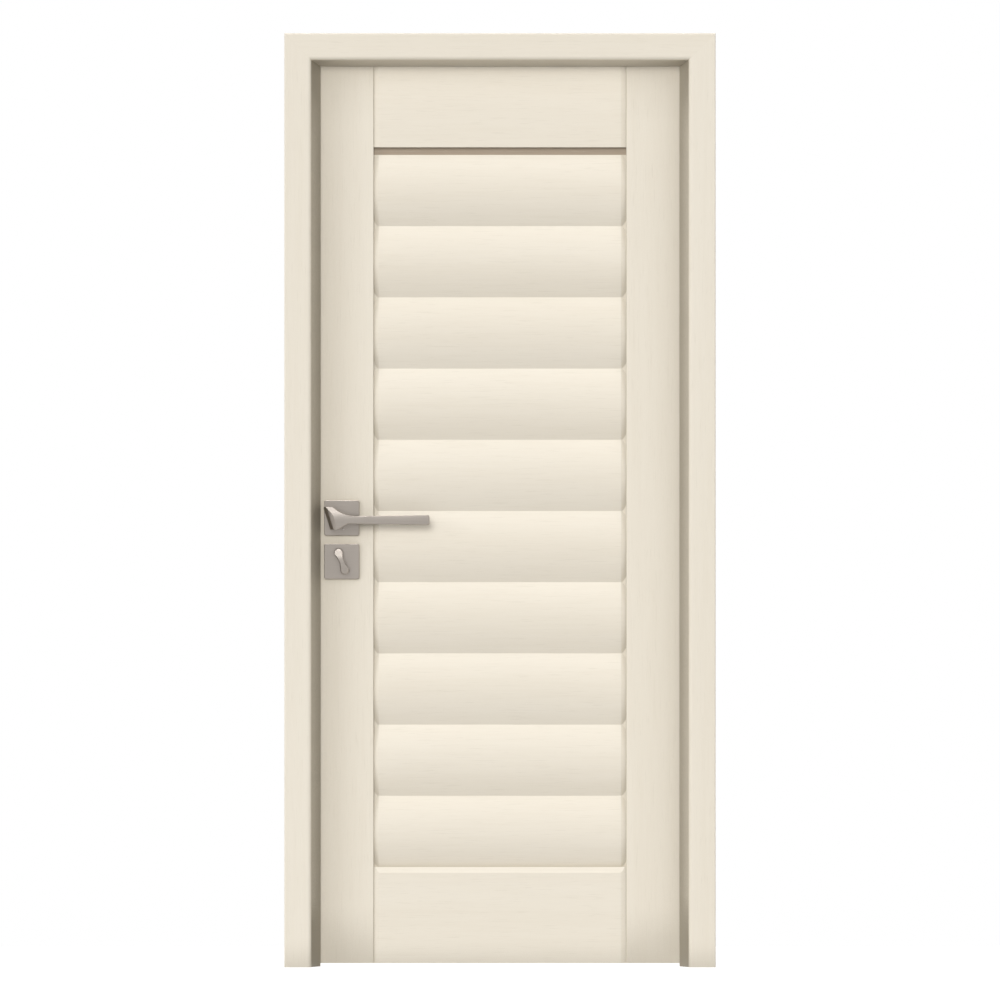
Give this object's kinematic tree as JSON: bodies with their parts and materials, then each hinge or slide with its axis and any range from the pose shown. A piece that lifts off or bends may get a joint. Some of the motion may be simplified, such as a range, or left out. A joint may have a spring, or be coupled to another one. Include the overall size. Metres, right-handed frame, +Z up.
{
  "type": "interior door set",
  "caption": "Interior hinged door in a rebated frame with casings: a leaf of wide pillow slats between two stiles, lever set, thumb turn and mortise lock.",
  "frame": {"origin": "on the outer face of the hinge jamb, at floor level and half the depth of the frame", "axes": "+Z up, +X from the lock jamb to the hinge jamb, +Y from the push side to the pull side, which the leaf swings to"},
  "size_m": [0.96, 0.16, 2.079],
  "materials": {
    "veneer_upright": "cream wood-look foil, grain along the height",
    "veneer_level": "cream wood-look foil, grain across the door",
    "satin_nickel": "satin nickel plate",
    "lock_steel": "brushed nickel-plated steel",
    "seal_rubber": "matt rubber"
  },
  "bodies": {
    "frame": {"hinge_jamb": "veneer_upright", "lock_jamb": "veneer_upright", "head_jamb": "veneer_level", "rebate_seal": "seal_rubber", "strike_plate": "lock_steel", "hinge_pins": "lock_steel", "front_casing_left": "veneer_upright", "front_casing_right": "veneer_upright", "front_casing_head": "veneer_level", "back_casing_left": "veneer_upright", "back_casing_right": "veneer_upright", "back_casing_head": "veneer_level", "frame_hinge_bottom": "lock_steel", "frame_hinge_middle": "lock_steel", "frame_hinge_top": "lock_steel"},
    "leaf": {"lock_stile": "veneer_upright", "hinge_stile": "veneer_upright", "top_rail": "veneer_level", "bottom_rail": "veneer_level", "slat_01": "veneer_level", "slat_02": "veneer_level", "slat_03": "veneer_level", "slat_04": "veneer_level", "slat_05": "veneer_level", "slat_06": "veneer_level", "slat_07": "veneer_level", "slat_08": "veneer_level", "slat_09": "veneer_level", "slat_10": "veneer_level", "door_hinge_bottom": "lock_steel", "door_hinge_middle": "lock_steel", "door_hinge_top": "lock_steel", "lock_case": "lock_steel", "face_plate": "lock_steel", "front_lever_rose": "satin_nickel", "back_lever_rose": "satin_nickel", "front_turn_rose": "satin_nickel", "back_turn_rose": "satin_nickel"},
    "handle": {"front_lever": "satin_nickel", "back_lever": "satin_nickel", "lever_spindle": "lock_steel"},
    "latch": {"latch_bolt": "lock_steel"},
    "turn": {"thumb_turn": "satin_nickel", "turn_spindle": "lock_steel", "release_disc": "satin_nickel"},
    "deadbolt": {"deadbolt": "lock_steel"}
  },
  "joints": [
    {"name": "door_swing", "type": "hinge", "parent": "frame", "child": "leaf", "pos_m": [-0.0375, 0.057, 1.012], "axis": [0, 0, -1], "range_deg": [0, 110]},
    {"name": "lever_turn", "type": "hinge", "parent": "leaf", "child": "handle", "pos_m": [-0.803, 0.03, 1], "axis": [0, 1, 0], "range_deg": [0, 45], "stiffness_Nm_per_rad": 1.5, "springref_deg": -40.11},
    {"name": "latch_slide", "type": "slide", "parent": "leaf", "child": "latch", "axis": [1, 0, 0], "range_m": [0, 0.012]},
    {"name": "lock_turn", "type": "hinge", "parent": "leaf", "child": "turn", "pos_m": [-0.803, 0.03, 0.903], "axis": [0, -1, 0], "range_deg": [0, 90]},
    {"name": "deadbolt_slide", "type": "slide", "parent": "leaf", "child": "deadbolt", "axis": [-1, 0, 0], "range_m": [0, 0.014]}
  ],
  "couplings": [
    {"joint": "latch_slide", "follows": "lever_turn", "m_per_rad": 0.015278},
    {"joint": "deadbolt_slide", "follows": "lock_turn", "m_per_rad": 0.008912}
  ]
}
